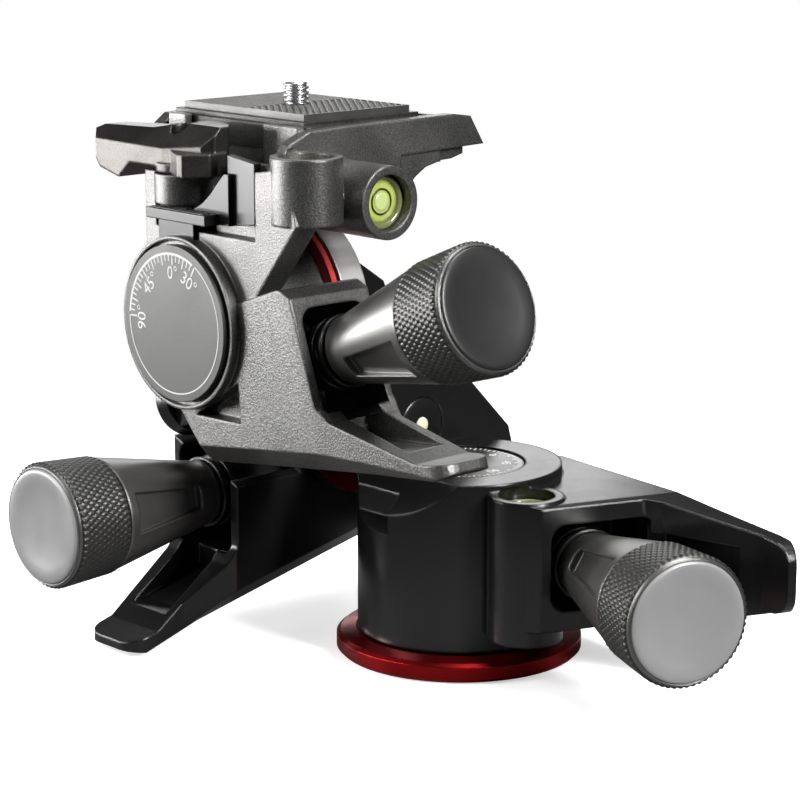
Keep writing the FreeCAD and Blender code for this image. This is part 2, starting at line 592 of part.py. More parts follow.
def lateral_body_pieces():
    turn = "lateral_knob_angle"
    case = Piece("lateral_housing", upright_frame())
    gear_case(case, turn, 1, "wing_end", ("-case_slim", "case_wide"), ("-wing_slim", "wing_half + 0.8"),
              [("hood_end + 6", "-wing_slim")], ["case_wide", "-case_slim"])
    case.pad(("0", "0", "hub_radius"), "-14.5", "collar_front")
    # Leg, neck and the back plate beside the latch.
    case.pad(front_view([("-63.5", "lateral_z"), ("-63.5", "latch_floor - latch_travel - 0.7"),
                         ("-22.2", "latch_floor - latch_travel - 0.7"), ("-22.2", "118.5"), ("-12", "120"),
                         ("-7.6", "107.3"), ("-26.4", "83.8"), ("lateral_x", "75")]),
             depth("leg_back"), depth("leg_front"))
    case.pad(front_view([("-63.5", "lateral_z"), ("-63.5", "112"), ("-33", "112"), ("-33", "lateral_z")]),
             "-12", depth("leg_back"))
    case.pad(front_view([("-41", "98"), ("-41", "113.3"), ("-34.8", "113.3"), ("-34.8", "119.5"),
                         ("-21", "119.5"), ("-21", "98")]),
             depth("leg_back"), depth("leg_front + 3.4"))
    # Bed under the quick-release plate with its two lips and side panels.
    bed = [("seat_front - 2", "slab_floor"), ("seat_front - 2", "bed_floor"), ("0", "bed_floor"),
           ("3.5", "113.4"), ("7", "115.5"), ("bed_back - 1", "bed_rear"), ("bed_back", "bed_rear"),
           ("bed_back", "slab_floor")]
    case.pad(side_view(bed), "-28.5", "28.5", plane="YZ")
    lip = [("-70.5", "slab_floor - 1"), ("-22", "slab_floor - 1"), ("-22", "slab_top - 0.8"),
           ("-70.5", "slab_top - 0.8")]
    case.pad(front_view(lip), depth("seat_front"), depth("seat_front - 2"))
    case.pad(front_view(lip), depth("seat_back + 2"), depth("seat_back"))
    panel = [("-40", "120"), ("-37", "124.5"), ("-31", "127"), ("-20", "127.4"), ("16", "127.8"),
             ("21.5", "127"), ("26.1", "119.8"), ("-1.8", "119.1"), ("-1.8", "bed_floor"), ("-38", "108")]
    case.pad(side_view(panel), "seat_half", "seat_half + panel_thick", plane="YZ")
    short = [("-31.5", "bed_floor"), ("-31.5", "124.5"), ("-28", "127")] + panel[3:9]
    case.pad(side_view(short), "-seat_half - panel_thick", "-seat_half", plane="YZ")
    shelf = [("bed_back - 1", "bed_rear"), ("17", "bed_rear + 0.2"), ("21", "bed_rear + 1.2"),
             ("21", "123.5"), ("bed_back - 1", "123.5")]
    case.pad(side_view(shelf), "-27", "27", plane="YZ")
    # Level cup and level barrel on the user's right.
    case.pad(("cup_x - lateral_x", depth("cup_y"), "cup_radius"), "cup_floor - lateral_z",
             "cup_top - lateral_z", plane="XZ")
    case.pad(("barrel_z - lateral_z", depth("barrel_y"), "barrel_radius"), "seat_half",
             "barrel_end - lateral_x", plane="YZ")
    # Round boss under the clamp lever, its root, and the wall on the left.
    case.pad(("lever_x - lateral_x", depth("lever_y"), "boss_round"), "boss_low - lateral_z",
             "boss_high - lateral_z", plane="XZ")
    case.pad(front_view([("-60", "boss_low"), ("-46", "boss_low"), ("-46", "boss_high"),
                         ("-60", "boss_high")]), depth("seat_front"), depth("lever_y"))
    case.pad(front_view([("-63.5", "98"), ("-59.4", "98"), ("-59.4", "boss_high"), ("-63.5", "boss_high")]),
             depth("seat_front"), depth("leg_front"))
    hollow_case(case, turn, 1, "wing_end", "0", "-9.2", "11", "-wing_slim + wing_wall",
                "wing_half - wing_wall")
    case.cut(("0", "0", "axle_radius + run_gap"), "-15", "collar_front + 1")
    case.cut(("0", "0", "dial_radius + dial_groove"), "-dial_face - dial_thick - case_gap + lateral_y",
             "collar_front + 1")
    # Window and stem slot of the latch, pocket beside the hub, lightening pocket under the bed.
    case.cut(front_view([("-34", "105.4"), ("-22", "105.4"), ("-22", "122"), ("-34", "122")]),
             depth("leg_back - 0.5"), depth("leg_front - 1"))
    # Window in the front lip for the inner end of the swinging lever.
    case.cut(front_view([("-64", "boss_high + 0.1"), ("-34.5", "boss_high + 0.1"), ("-34.5", "slab_top"),
                         ("-64", "slab_top")]), depth("seat_front + 0.1"), depth("leg_front - 1"))
    case.cut(front_view([("-57.9", "96.6"), ("-43.2", "96.6"), ("-43.2", "104"), ("-57.9", "104")]),
             depth("leg_front + 3.4"), depth("leg_front - 1"))
    case.cut(front_view([("-27.9", "68.1"), ("-44.1", "57.8"), ("-27.1", "58.3")]), "9.5", "15")
    case.cut([("-24.5", depth("2")), ("24.5", depth("2")), ("24.5", depth("-18")), ("-24.5", depth("-18"))],
             "bed_floor - lateral_z - 1", "bed_floor - lateral_z + 7", plane="XZ")
    case.cut(("lever_x - lateral_x", depth("lever_y"), "stud_radius"), "boss_low - lateral_z - 1",
             "boss_high - lateral_z + 1", plane="XZ")
    case.cut(("cup_x - lateral_x", depth("cup_y"), "vial_radius"),
             "cup_top - vial_drop - vial_thick - lateral_z", "cup_top - lateral_z + 1", plane="XZ")
    case.cut(("barrel_z - lateral_z", depth("barrel_y"), "vial_radius"),
             "barrel_end - vial_drop - vial_thick - lateral_x", "barrel_end - lateral_x + 1", plane="YZ")

    accent = Piece("lateral_ring", frame("lateral_x", "0", "lateral_z", (1, 0, 0), (0, 0, 1)))
    accent.pad(("0", "0", "lateral_accent_radius"), "18 - accent_thick", "18")
    accent.cut(("0", "0", "axle_radius + run_gap"), "15", "19")
    vial = Piece("top_level")
    vial.pad(("cup_x", "cup_y", "vial_radius"), "cup_top - vial_drop - vial_thick", "cup_top - vial_drop")
    vial = Piece("side_level")
    vial.pad(("barrel_y", "barrel_z", "vial_radius"), "barrel_end - vial_drop - vial_thick",
             "barrel_end - vial_drop", plane="YZ")
    stud = Piece("lever_stud")
    stud.pad(("lever_x", "lever_y", "stud_radius"), "boss_low", "lever_top - 4.5")


# ---------------------------------------------------------------- clamp lever, latch and plate

def plate_outline(half_x, half_y):
    """Rectangle round the middle of the quick-release plate."""
    return [("plate_x + (%s) * (%d)" % (half_x, a), "plate_y + (%s) * (%d)" % (half_y, b))
            for a, b in ((-1, -1), (1, -1), (1, 1), (-1, 1))]


def clamp_pieces():
    lever = Piece("clamp_lever")
    lever.pad([("-83.6", "-44.4"), ("-80.6", "lever_front + 0.3"), ("-54", "lever_front"),
               ("-40.4", "-46"), ("-38.4", "-43.4"), ("-38.4", "-39.4"), ("-41.4", "-36.6"),
               ("-46.5", "-34.4"), ("-53.4", "-33.6"), ("-66", "-35.2"), ("-80", "-37.4"), ("-83.6", "-40")],
              "112", "lever_top")
    lever.cut([("-86", "111"), ("-86", "122.6"), ("-83.6", "120.6"), ("-79", "114.8"), ("-71.4", "113"),
               ("-67", "117"), ("-37", "117"), ("-37", "111")], "-50", "-32", plane="XZ")
    lever.cut([("-86", "122.6"), ("-80.4", "125"), ("-62", "125.6"), ("-52", "lever_top"),
               ("-52", "129"), ("-86", "129")], "-50", "-32", plane="XZ")
    lever.cut([("-50", "121.2"), ("lever_front - 0.2", "121.2"), ("-41.4", "lever_top + 0.4"),
               ("-50", "lever_top + 0.4")], "-86", "-37", plane="YZ")
    lever.pad(("lever_x", "lever_y", "7"), "boss_high + 0.4", "118")
    lever.pad([("-51", "-46"), ("-51", "-47"), ("-43.4", "-51"), ("-41.4", "-51"), ("-38", "-45.4"),
               ("-38", "-40"), ("-51", "-40")], "boss_high + 0.4", "121.3")
    lever.cut(("lever_x", "lever_y", "stud_radius + run_gap"), "boss_high", "lever_top + 1")

    latch = Piece("safety_latch")
    low, high = "latch_floor", "latch_floor + latch_thick"
    latch.pad([("-57", "-50"), ("-34.6", "-50"), ("-34.6", "-42.2"), ("-42", "-42.2"), ("-42", "-40"),
               ("-57", "-40")], low, high)
    latch.pad([("-57.2", "-46"), ("-43.9", "-46"), ("-43.9", "-42.2"), ("-57.2", "-42.2")], "99.2",
              "latch_floor + 1")
    # Ramp that rises from the pad to the tab.
    latch.pad([("-44.6", low), ("-44.6", high), ("-41", "109.3"), ("-37.6", "112"), ("-34.8", "115"),
               ("-32.6", "117.2"), ("-31", "117.2"), ("-31", low)], "-45.6", "-42.2", plane="XZ")
    latch.pad([("-33", low), ("-33", "121.5"), ("-23.2", "120.3"), ("-23.2", "106"), ("-31", low)],
              "-44.2", "-42.2", plane="XZ")

    slab = Piece("plate_slab")
    foot = plate_outline("plate_long / 2", "plate_wide / 2")
    slab.round_corners("slab_round", slab.pad(foot, "slab_floor", "slab_top - slab_step"), foot)
    top = plate_outline("plate_long / 2 - slab_inset", "plate_wide / 2 - slab_inset")
    slab.pad(top, "slab_top - slab_step", "slab_top")
    slab.cut(("plate_x", "plate_y", "screw_radius + run_gap"), "slab_floor - 1", "slab_top + 1")
    slab.cut(("plate_x", "plate_y", "8"), "slab_floor - 1", "slab_floor + 3")
    pad = Piece("plate_pad")
    pad.pad(plate_outline("pad_long / 2", "pad_wide / 2"), "slab_top", "pad_top")
    pad.cut(("plate_x", "plate_y", "screw_radius + run_gap"), "slab_top - 1", "pad_top + 1")
    screw = Piece("camera_screw")
    screw.pad(("plate_x", "plate_y", "screw_radius - 0.3"), "slab_floor + 3", "pad_top")
    screw.pad(("plate_x", "plate_y", "screw_radius"), "pad_top", "screw_top")
    screw.pad(("plate_x", "plate_y", "7.6"), "slab_floor + 0.4", "slab_floor + 3")


def export():
    doc.recompute()
    os.makedirs("parts", exist_ok=True)
    for thing in doc.Objects:
        if "Invalid" in thing.State or "Error" in thing.State:
            raise RuntimeError("%s failed" % thing.Name)
    for piece in pieces:
        if piece.Shape.isNull() or not piece.Shape.isValid():
            raise RuntimeError("%s has no valid shape" % piece.Label)
    for piece in pieces:
        piece.Shape.exportStep("parts/%s.step" % piece.Label)
        print("%-18s %8.0f mm3 %d" % (piece.Label, piece.Shape.Volume, len(piece.Shape.Solids)))


base_pieces()
pan_body_pieces()
tilt_body_pieces()
lateral_body_pieces()
clamp_pieces()
for movement, base in (("pan", pan_frame()), ("tilt", tilt_frame()), ("lateral", lateral_frame())):
    gear_set(movement, base)
export()
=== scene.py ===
"""Looks of the geared tripod head: finishes, knurls, dial print, levels, pads, light and camera."""
import json
import math

import bpy
from mathutils import Matrix, Vector


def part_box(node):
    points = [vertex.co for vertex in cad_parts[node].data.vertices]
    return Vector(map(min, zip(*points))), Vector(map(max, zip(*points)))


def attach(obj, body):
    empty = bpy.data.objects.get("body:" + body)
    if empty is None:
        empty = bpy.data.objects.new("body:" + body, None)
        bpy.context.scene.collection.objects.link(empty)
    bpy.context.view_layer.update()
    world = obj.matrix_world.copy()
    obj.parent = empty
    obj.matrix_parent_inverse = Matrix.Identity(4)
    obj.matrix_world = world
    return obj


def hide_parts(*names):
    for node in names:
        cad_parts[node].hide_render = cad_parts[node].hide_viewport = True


MM = 0.001

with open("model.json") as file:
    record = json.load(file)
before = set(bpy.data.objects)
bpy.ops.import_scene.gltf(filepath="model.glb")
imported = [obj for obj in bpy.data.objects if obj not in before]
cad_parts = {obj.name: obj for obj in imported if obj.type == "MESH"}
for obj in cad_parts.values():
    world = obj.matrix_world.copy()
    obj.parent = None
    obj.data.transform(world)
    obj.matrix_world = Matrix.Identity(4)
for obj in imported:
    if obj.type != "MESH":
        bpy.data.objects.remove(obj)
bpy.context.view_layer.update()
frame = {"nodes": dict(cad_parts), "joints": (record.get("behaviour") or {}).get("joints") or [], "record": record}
joints = {joint["name"]: joint for joint in frame["joints"]}


# ---------------------------------------------------------------- shader helpers

BEVEL_SAMPLES = 6
COAT_ROUGHNESS = 0.12


def rgba(value):
    """A colour or a grey level, as an opaque colour."""
    return (*value, 1) if isinstance(value, tuple) else (value, value, value, 1)


class Shader:
    """A node material whose principled shader takes colours and numbers or other sockets."""

    def __init__(self, name):
        self.material = bpy.data.materials.new(name)
        self.material.use_nodes = True
        self.nodes = self.material.node_tree.nodes
        self.links = self.material.node_tree.links
        self.surface = self.nodes["Principled BSDF"]

    def add(self, kind, **settings):
        node = self.nodes.new(kind)
        for key, value in settings.items():
            setattr(node, key, value)
        return node

    def put(self, socket, value):
        if isinstance(value, bpy.types.NodeSocket):
            self.links.new(value, socket)
        else:
            socket.default_value = value

    def set(self, **values):
        for key, value in values.items():
            self.put(self.surface.inputs[key.replace("_", " ")], value)

    def coords(self, stretch=None):
        place = self.add("ShaderNodeTexCoord").outputs["Object"]
        if stretch is None:
            return place
        node = self.add("ShaderNodeMapping")
        node.inputs["Scale"].default_value = stretch
        self.put(node.inputs["Vector"], place)
        return node.outputs["Vector"]

    def noise(self, scale, detail=3.0, roughness=0.5, stretch=None):
        node = self.add("ShaderNodeTexNoise")
        self.put(node.inputs["Vector"], self.coords(stretch))
        node.inputs["Scale"].default_value = scale
        node.inputs["Detail"].default_value = detail
        node.inputs["Roughness"].default_value = roughness
        return node.outputs["Fac"]

    def ramp(self, factor, low, high, start=0.35, end=0.65):
        """Go from low to high, each a colour or a grey level, while the factor goes from start to end."""
        node = self.add("ShaderNodeValToRGB")
        first, last = node.color_ramp.elements
        first.position, last.position = start, end
        first.color, last.color = rgba(low), rgba(high)
        self.put(node.inputs["Fac"], factor)
        return node.outputs["Color"]

    def rounded(self, radius):
        """A normal that softens the edges of the solid to a radius in millimetres."""
        node = self.add("ShaderNodeBevel", samples=BEVEL_SAMPLES)
        node.inputs["Radius"].default_value = radius * MM
        return node.outputs["Normal"]

    def mixed(self, factor, first, second):
        node = self.add("ShaderNodeMixShader")
        for socket, value in zip(node.inputs, (factor, first, second)):
            self.put(socket, value)
        return node.outputs[0]

    def bump(self, height, strength, distance, normal=None):
        node = self.add("ShaderNodeBump")
        node.inputs["Strength"].default_value = strength
        node.inputs["Distance"].default_value = distance * MM
        self.put(node.inputs["Height"], height)
        if normal is not None:
            self.put(node.inputs["Normal"], normal)
        return node.outputs["Normal"]


def tinted(colour, factor):
    return tuple(min(1.0, c * factor) for c in colour)


def finish(name, colour, roughness, metallic=0.0, grain=2200.0, relief=0.15, depth=0.04, spread=0.12,
           mottle=60.0, rough_spread=0.12, edge=0.3, coat=0.0, stretch=None, fleck=0.0):
    """A painted, moulded or metal surface: grain in the bump, slow variation in colour and gloss.

    With a fleck above 0, the colour follows the grain by that share, in the place of the slow variation."""
    shader = Shader(name)
    slow = shader.noise(mottle, 4.0, 0.6, stretch)
    fine = shader.noise(grain, 2.0, 0.55, stretch)
    corner = shader.rounded(edge) if edge else None
    tone, spread = (fine, fleck) if fleck else (slow, spread)
    shader.set(
        Base_Color=shader.ramp(tone, tinted(colour, 1 - spread), tinted(colour, 1 + spread)),
        Roughness=shader.ramp(slow, roughness - rough_spread / 2, roughness + rough_spread / 2),
        Metallic=metallic,
        Normal=shader.bump(fine, relief, depth, corner),
    )
    shader.surface.inputs["Coat Weight"].default_value = coat
    shader.surface.inputs["Coat Roughness"].default_value = COAT_ROUGHNESS
    return shader.material


FINISHES = {
    "grey_casting": finish("grey_casting", (0.135, 0.1325, 0.129), 0.38, 0.85, 2400, 1.0, 0.08, edge=0.8,
                           fleck=0.32),
    "black_casting": finish("black_casting", (0.006, 0.006, 0.0062), 0.25, 0.0, 2200, 0.3, 0.05, 0.05,
                            rough_spread=0.04, edge=0.9),
    "red_anodised": finish("red_anodised", (0.28, 0.006, 0.008), 0.27, 0.9, 1800, 0.1, 0.03),
    "knob_black": finish("knob_black", (0.16, 0.157, 0.152), 0.36, 0.9, 2400, 0.15, 0.03, 0.05,
                         rough_spread=0.04, edge=0.9),
    "grip_black": finish("grip_black", (0.06, 0.059, 0.057), 0.4, 0.85, 2400, 0.15, 0.03, 0.05,
                         rough_spread=0.04, edge=0),
    "cap_grey": finish("cap_grey", (0.24, 0.24, 0.241), 0.34, 0.1, 1500, 0.12, 0.03, 0.04),
    "cap_black": finish("cap_black", (0.018, 0.018, 0.0182), 0.36, 0.2, 1500, 0.15, 0.03, 0.05,
                        rough_spread=0.04),
    "dial_grey": finish("dial_grey", (0.075, 0.074, 0.073), 0.42, 0.7, 3000, 0.2, 0.03, fleck=0.12),
    "lever_grey": finish("lever_grey", (0.062, 0.059, 0.055), 0.33, 0.95, 3000, 0.35, 0.05, edge=0.8,
                         fleck=0.2),
    "latch_black": finish("latch_black", (0.006, 0.006, 0.0062), 0.3, 0.0, 2400, 0.05, 0.02, 0.05,
                          rough_spread=0.04, edge=0.4),
    "drum_grey": finish("drum_grey", (0.55, 0.54, 0.525), 0.4, 0.9, 900, 0.3, 0.04, 0.2, edge=0.5,
                        stretch=(1, 0.12, 1)),
    "plate_dark": finish("plate_dark", (0.045, 0.044, 0.042), 0.4, 0.8, 2200, 0.7, 0.06, edge=0.5,
                         fleck=0.35),
    "plate_rubber": finish("plate_rubber", (0.07, 0.068, 0.066), 0.4, 0.6, 3000, 0.3, 0.04, edge=0),
    "screw_chrome": finish("screw_chrome", (0.55, 0.55, 0.56), 0.3, 1.0, 1500, 0.05, 0.02, 0.05, edge=0.15),
    "cap_cream": finish("cap_cream", (0.62, 0.56, 0.42), 0.4, 0.0, 1500, 0.1, 0.02, 0.05),
    "bronze": finish("bronze", (0.55, 0.36, 0.14), 0.34, 0.9, 1500, 0.1, 0.02, edge=0.1),
    "dark_metal": finish("dark_metal", (0.022, 0.022, 0.023), 0.36, 0.4, 2400, 0.2, 0.03),
    "steel": finish("steel", (0.42, 0.42, 0.43), 0.3, 1.0, 1500, 0.1, 0.02, 0.06, edge=0.15),
    "level_green": finish("level_green", (0.36, 0.42, 0.10), 0.15, 0.0, 300, 0.02, 0.01, 0.1, 350, edge=0,
                          coat=1.0),
}
# Lateral ring: the red anodised finish made lighter and less metallic. The extra lightness is painted light on
# that ring, not a different red.
LIT_RING_RED = finish("ring_red_painted_light", (0.62, 0.06, 0.06), 0.35, 0.3, 1800, 0.1, 0.03)
SCALE_SILVER = finish("scale_silver", (0.08, 0.079, 0.077), 0.3, 0.7, 900, 0.3, 0.04, 0.15, edge=0.3)
PRINT_WHITE = finish("print_white", (0.62, 0.62, 0.61), 0.5, 0.0, 1500, 0.1, 0.01, 0.04, edge=0)
RING_BLACK = finish("ring_black", (0.012, 0.016, 0.008), 0.35, 0.0, 900, 0.1, 0.01, 0.05, edge=0)
LEVEL_RIM = finish("level_rim", (0.13, 0.14, 0.06), 0.18, 0.0, 400, 0.05, 0.01, 0.08, edge=0.2, coat=1.0)
BUBBLE = finish("bubble", (0.46, 0.54, 0.22), 0.1, 0.0, 300, 0.02, 0.01, 0.05, edge=0, coat=1.0)


def dress_nodes():
    """Give each node the finish of its slot and the pan scale its own. The lateral ring gets a lighter copy of the
    red anodised finish, which has painted light in its colour.
    """
    slots = {part["node"]: part["material_slot"] for part in frame["record"]["subparts"]}
    for name, node in frame["nodes"].items():
        node.data.materials.clear()
        node.data.materials.append(FINISHES[slots[name]])
    frame["nodes"]["pan_scale"].data.materials[0] = SCALE_SILVER
    # The lateral ring takes the lighter red copy: its red is real, its extra lightness is painted light.
    frame["nodes"]["lateral_ring"].data.materials[0] = LIT_RING_RED


# ---------------------------------------------------------------- mesh helpers

def axes_matrix(origin, x_axis, z_axis):
    """Matrix whose Z runs along z_axis and whose X lies towards x_axis."""
    z = Vector(z_axis).normalized()
    x = (Vector(x_axis) - z * Vector(x_axis).dot(z)).normalized()
    y = z.cross(x)
    turn = Matrix((x, y, z)).transposed().to_4x4()
    return Matrix.Translation(Vector(origin)) @ turn


def put_piece(name, points, faces, place, material, body, slot, stands_for=(), smooth=True):
    """Make a piece from points in millimetres, seated by a matrix, riding on a body."""
    mesh = bpy.data.meshes.new(name)
    mesh.from_pydata([place @ (Vector(p) * MM) for p in points], [], faces)
    mesh.validate()
    mesh.polygons.foreach_set("use_smooth", [smooth] * len(mesh.polygons))
    mesh.materials.append(material)
    piece = bpy.data.objects.new(name, mesh)
    bpy.context.scene.collection.objects.link(piece)
    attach(piece, body)
    for node in stands_for:
        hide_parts(node)
    return piece


def circle(radius, height, count):
    """Points of a level circle about Z."""
    angles = [math.tau * i / count for i in range(count)]
    return [(radius * math.cos(angle), radius * math.sin(angle), height) for angle in angles]


def lathe(profile, steps=72):
    """Points and faces of a profile [(radius, height), ...] turned about Z."""
    points, rows, faces = [], [], []
    for radius, height in profile:
        if radius < 1e-6:
            rows.append([len(points)] * steps)
            points.append((0, 0, height))
        else:
            rows.append(list(range(len(points), len(points) + steps)))
            points += circle(radius, height, steps)
    for low, high in zip(rows, rows[1:]):
        for i in range(steps):
            corner = [low[i], low[(i + 1) % steps], high[(i + 1) % steps], high[i]]
            face = list(dict.fromkeys(corner))
            if len(face) > 2:
                faces.append(face)
    return points, faces


def stack(rows, looped=False):
    """Skin over a stack of equally long rings: looped into a ring-shaped solid, or with flat ends."""
    points = [point for row in rows for point in row]
    count = len(rows[0])
    faces = []
    for j in range(len(rows) if looped else len(rows) - 1):
        first, second = j * count, ((j + 1) % len(rows)) * count
        for i in range(count):
            k = (i + 1) % count
            faces.append([first + i, first + k, second + k, second + i])
    if not looped:
        faces.append(list(reversed(range(count))))
        faces.append(list(range(len(points) - count, len(points))))
    return points, faces


# ---------------------------------------------------------------- knurled grips

GRIP_START, GRIP_END = 0, 15.0
GRIP_SMALL, GRIP_LARGE, GRIP_CORE = 14.45, 15.25, 12.45
GRIP_MARGIN, GRIP_BEVEL = 0.5, 0.3
KNURL_ROWS, KNURL_AROUND, KNURL_HEIGHT = 11, 60, 0.5
KNURL_CELL = 6    # points along and round each bump
KNURL_REACH_ALONG, KNURL_REACH_ROUND, KNURL_FLAT = 0.85, 0.5, 1.5


def knurl(row, column):
    """Height, from 0 to 1, of the staggered oval bumps at a place counted in rows and columns."""
    best = 0.0
    for near in (math.floor(row) - 1, math.floor(row), math.floor(row) + 1):
        if not 0 <= near < KNURL_ROWS:
            continue
        along = (row - near - 0.5) / KNURL_REACH_ALONG
        shift = column + 0.5 * (near % 2)
        aside = (shift - math.floor(shift) - 0.5) / KNURL_REACH_ROUND
        best = max(best, 1 - along * along - aside * aside)
    return math.sqrt(min(1.0, best * KNURL_FLAT))


def grip_rows():
    """Rings of points of a knurled grip, from its inner end to its outer end."""
    count, steps = KNURL_AROUND * KNURL_CELL, KNURL_ROWS * KNURL_CELL
    rows = []
    for j in range(steps + 1):
        share = j / steps
        height = GRIP_START + GRIP_MARGIN + share * (GRIP_END - GRIP_START - 2 * GRIP_MARGIN)
        radius = GRIP_SMALL + share * (GRIP_LARGE - GRIP_SMALL) - KNURL_HEIGHT
        row = []
        for i in range(count):
            out = radius + KNURL_HEIGHT * knurl(share * KNURL_ROWS, i / KNURL_CELL)
            angle = math.tau * i / count
            row.append((out * math.cos(angle), out * math.sin(angle), height))
        rows.append(row)
    low, high = GRIP_SMALL - KNURL_HEIGHT, GRIP_LARGE - KNURL_HEIGHT
    inner = [(GRIP_CORE, GRIP_START), (low - GRIP_BEVEL, GRIP_START), (low, GRIP_START + GRIP_BEVEL)]
    outer = [(high, GRIP_END - GRIP_BEVEL), (high - GRIP_BEVEL, GRIP_END), (GRIP_CORE, GRIP_END)]
    inner_end, outer_end = [[circle(*place, count) for place in end] for end in (inner, outer)]
    return inner_end + rows + outer_end


def grip_matrix(movement):
    """Matrix at the inner end of the grip, with Z along the knob's axis towards its cap."""
    joint = joints[movement + "_knob_spin"]
    axis, place = Vector(joint["axis"]), Vector(joint["pos_m"])
    grip = frame["nodes"][movement + "_grip"]
    start = min((grip.matrix_world @ vertex.co - place).dot(axis) for vertex in grip.data.vertices)
    return axes_matrix(place + axis * start, (0, 0, 1), axis)


def build_grips():
    """The three knobs' grips, all of one shape, in the place of the plain ones."""
    points, faces = stack(grip_rows(), looped=True)
    for movement in ("pan", "tilt", "lateral"):
        put_piece(movement + "_knurled_grip", points, faces, grip_matrix(movement), FINISHES["grip_black"],
                  movement + "_drive", "grip_black", [movement + "_grip"])


# ---------------------------------------------------------------- knob caps and the axle's end

CAP_RIM, CAP_DISH, DISH_STEPS, CAP_AROUND = 2.4, 0.9, 8, 96
CAP_EDGE = [(0, -0.6), (-0.2, -0.22), (-0.7, -0.02), (-1.4, 0)]
WASHER_INSET, WASHER_BEVEL, WASHER_SLOPE, WASHER_HOLE = 0.7, 0.4, 0.2, 2.2
BUTTON_RADIUS, BUTTON_RISE, BUTTON_SINK = 2.0, 0.7, 0.05


def cap_profile(radius, foot, top):
    """Half outline of a cap whose face sinks in a shallow dish inside a rounded rim."""
    edge = [(radius + out, top + up) for out, up in CAP_EDGE]
    shares = [k / DISH_STEPS for k in range(DISH_STEPS, -1, -1)]
    dish = [((radius - CAP_RIM) * share, top - CAP_DISH * (1 - share ** 2)) for share in shares]
    return [(0, foot), (radius, foot)] + edge + dish


def build_caps():
    """Dished end caps of the knobs, in the place of the faceted ones."""
    for movement in ("pan", "tilt", "lateral"):
        joint = joints[movement + "_knob_spin"]
        axis, place = Vector(joint["axis"]), Vector(joint["pos_m"])
        cap = frame["nodes"][movement + "_cap"]
        spots = [cap.matrix_world @ vertex.co - place for vertex in cap.data.vertices]
        top, foot = [end(spot.dot(axis) for spot in spots) / MM for end in (max, min)]
        radius = max((spot - axis * spot.dot(axis)).length for spot in spots) / MM
        points, faces = lathe(cap_profile(radius, foot, top), CAP_AROUND)
        slot = "cap_black" if movement == "lateral" else "cap_grey"
        put_piece(movement + "_dished_cap", points, faces, axes_matrix(place, (0, 0, 1), axis),
                  FINISHES[slot], movement + "_drive", slot, [movement + "_cap"])


def build_axle_end():
    """Dark washer on the end of the tilt axle, with a small cream button in its middle."""
    low, high = [Vector(corner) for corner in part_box("tilt_axle_cap")]
    middle = (low + high) / 2
    place = axes_matrix((low.x, middle.y, middle.z), (0, 0, 1), (1, 0, 0))
    tall, radius = (high.x - low.x) / MM, (high.z - low.z) / 2 / MM
    face = tall - WASHER_INSET
    washer = lathe([(0, 0), (radius, 0), (radius, face - WASHER_SLOPE), (radius - WASHER_BEVEL, face),
                    (WASHER_HOLE, face), (0, face)])
    put_piece("axle_washer", *washer, place, FINISHES["black_casting"], "pan_body", "cap_cream",
              ["tilt_axle_cap"])
    slopes = [math.radians(angle) for angle in range(0, 91, 15)]
    arch = [(BUTTON_RADIUS * math.cos(slope), face + BUTTON_RISE * math.sin(slope)) for slope in slopes]
    dome = lathe([(0, face - BUTTON_SINK)] + arch)
    put_piece("axle_button", *dome, place, FINISHES["cap_cream"], "pan_body", "cap_cream")


# ---------------------------------------------------------------- printed scales

ARC_STEP, TICK_STEP, TICK_LONG, TICK_GAP = 3.0, 5, 15, 0.5
DIAL_RING, DIAL_LINE, DIAL_BAND = 17.2, 0.3, 0.6
DIAL_TICK, DIAL_LONG_TICK, DIAL_TICK_WIDTH = 2.1, 3.0, 0.38
DIAL_NUMBERS, DIAL_NUMBER_SIZE = 12.2, 4.5
PAN_TICK, PAN_LONG_TICK, PAN_TICK_WIDTH = 1.6, 2.3, 0.3
PAN_NUMBERS_INSET, PAN_NUMBER_SIZE, PAN_THICK = 4.4, 3.2, 0.05


